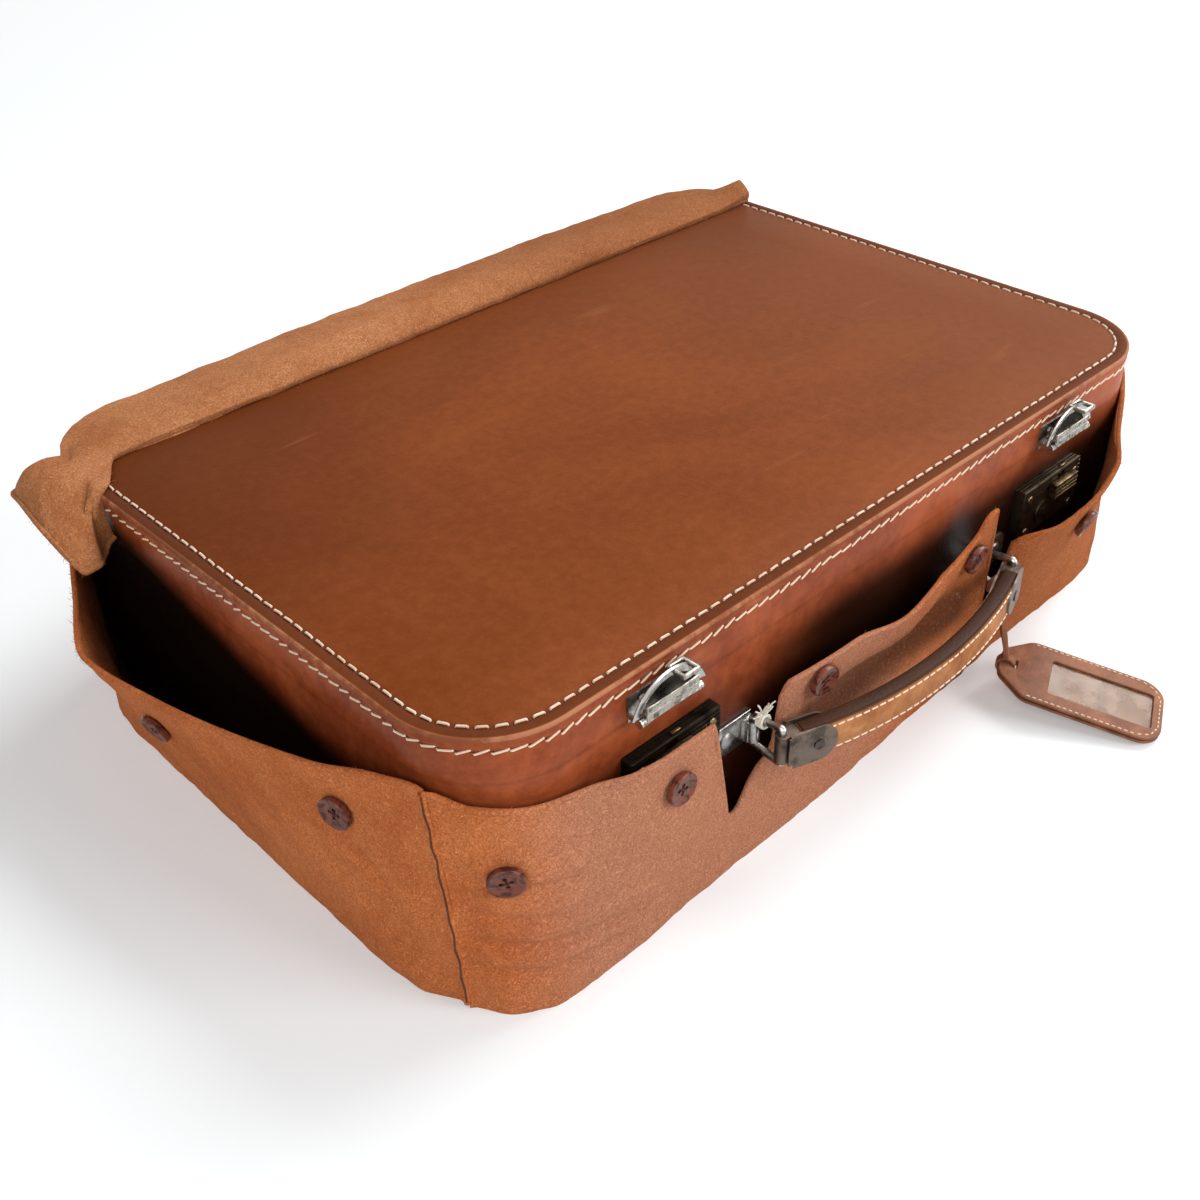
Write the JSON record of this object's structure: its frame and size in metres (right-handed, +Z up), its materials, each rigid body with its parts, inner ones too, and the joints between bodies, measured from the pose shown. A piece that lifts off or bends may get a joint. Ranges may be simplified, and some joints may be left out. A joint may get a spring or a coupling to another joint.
{
  "type": "toiletry case",
  "caption": "Rounded leather toiletry case with a stitched lid, two hasps, a strap handle on wire rings and a luggage tag, standing in its open buttoned cloth cover.",
  "frame": {"origin": "on the floor, under the middle of the case box (its length and width, without cover, flap, handle or tag)", "axes": "+X along the length of the case to its right as seen from the front with the handle, +Y to the back hinges, +Z up"},
  "size_m": [0.5185, 0.4631, 0.1438],
  "materials": {
    "case_leather": "smooth, waxed",
    "lid_leather": "smooth, soft sheen",
    "board": "raw fibre board",
    "lining": "woven",
    "divider_leather": "plain",
    "band_elastic": "ribbed elastic",
    "hinge_steel": "plain",
    "hasp_plating": "bright, worn",
    "lock_bronze": "darkened",
    "slide_bronze": "darkened, worn on its ribs",
    "ring_plating": "bright, worn",
    "ferrule_steel": "dark, worn",
    "rivet_steel": "dark",
    "string": "loose cotton",
    "grip_leather": "worn, stitched",
    "tag_leather": "worn, stitched",
    "card": "aged",
    "window_sheet": "thin clear sheet, scratched",
    "cover_cloth": "napped, suede-like",
    "button_horn": "marbled"
  },
  "bodies": {
    "base": {"base_leather": "case_leather", "base_board": "board", "base_lining": "lining", "base_lip": "divider_leather", "divider_long": "divider_leather", "dividers_cross": "divider_leather", "back_hinge_base_leaves": "hinge_steel", "back_hinge_pins": "hinge_steel", "back_hinge_base_screws": "hinge_steel", "lock_body_left": "lock_bronze", "lock_body_right": "lock_bronze", "lock_screws": "slide_bronze", "handle_bracket_left": "ring_plating", "handle_bracket_right": "ring_plating", "handle_bracket_rivets": "rivet_steel", "cover_bottom": "cover_cloth", "cover_front": "cover_cloth", "cover_left": "cover_cloth", "cover_right": "cover_cloth", "cover_back": "cover_cloth", "cover_flap": "cover_cloth", "cover_flap_drop": "cover_cloth", "cover_buttons": "button_horn"},
    "lid": {"lid_top_leather": "lid_leather", "lid_side_leather": "case_leather", "lid_board": "board", "lid_lining": "lining", "lid_pocket_band": "band_elastic", "back_hinge_lid_leaves": "hinge_steel", "back_hinge_lid_screws": "hinge_steel", "hasp_bracket_left": "hasp_plating", "hasp_bracket_right": "hasp_plating", "hasp_bracket_rivets": "hasp_plating", "hasp_pins": "hasp_plating"},
    "hasp_left": {"hasp_left": "hasp_plating"},
    "hasp_right": {"hasp_right": "hasp_plating"},
    "lock_slide_left": {"lock_slide_left": "slide_bronze"},
    "lock_slide_right": {"lock_slide_right": "slide_bronze"},
    "ring_left": {"handle_ring_left": "ring_plating", "string_tuft": "string"},
    "ring_right": {"handle_ring_right": "ring_plating"},
    "handle": {"handle_grip": "grip_leather", "handle_ferrule_left": "ferrule_steel", "handle_ferrule_right": "ferrule_steel", "handle_ferrule_rivets": "rivet_steel"},
    "tag_strap": {"tag_strap": "tag_leather"},
    "tag": {"tag_back": "tag_leather", "tag_front": "tag_leather", "tag_card": "card", "tag_window": "window_sheet"}
  },
  "joints": [
    {"name": "lid_hinge", "type": "hinge", "parent": "base", "child": "lid", "pos_m": [0, 0.164, 0.109], "axis": [-1, 0, 0], "range_deg": [0, 90], "deforming": ["cover_flap"]},
    {"name": "hasp_left_hinge", "type": "hinge", "parent": "lid", "child": "hasp_left", "pos_m": [-0.1415, -0.1676, 0.112], "axis": [1, 0, 0], "range_deg": [0, 180]},
    {"name": "hasp_right_hinge", "type": "hinge", "parent": "lid", "child": "hasp_right", "pos_m": [0.1365, -0.1676, 0.112], "axis": [1, 0, 0], "range_deg": [0, 180]},
    {"name": "lock_slide_left_travel", "type": "slide", "parent": "base", "child": "lock_slide_left", "axis": [0, 0, 1], "range_m": [0, 0.005], "stiffness_N_per_m": 300, "springref_m": -0.002},
    {"name": "lock_slide_right_travel", "type": "slide", "parent": "base", "child": "lock_slide_right", "axis": [0, 0, 1], "range_m": [0, 0.005], "stiffness_N_per_m": 300, "springref_m": -0.002},
    {"name": "ring_left_swing", "type": "hinge", "parent": "base", "child": "ring_left", "pos_m": [-0.089, -0.1652, 0.065], "axis": [0, 0, 1], "range_deg": [-10, 10]},
    {"name": "handle_swing", "type": "hinge", "parent": "ring_left", "child": "handle", "pos_m": [-0.089, -0.1812, 0.065], "axis": [0, 0, 1], "range_deg": [-10, 10]},
    {"name": "ring_right_swing", "type": "hinge", "parent": "base", "child": "ring_right", "pos_m": [0.079, -0.1652, 0.065], "axis": [0, 0, 1], "range_deg": [-10, 10]},
    {"name": "tag_strap_swing", "type": "hinge", "parent": "ring_right", "child": "tag_strap", "pos_m": [0.079, -0.174, 0.065], "axis": [0, 0, 1], "range_deg": [-10, 10]},
    {"name": "tag_lift", "type": "hinge", "parent": "tag_strap", "child": "tag", "pos_m": [0.078, -0.1868, 0.016], "axis": [-0.9063, -0.4226, 0], "range_deg": [0, 60]}
  ],
  "couplings": [
    {"joint": "handle_swing", "follows": "ring_left_swing", "ratio": -1},
    {"joint": "ring_right_swing", "follows": "ring_left_swing", "ratio": 1},
    {"joint": "tag_strap_swing", "follows": "ring_left_swing", "ratio": -1}
  ]
}
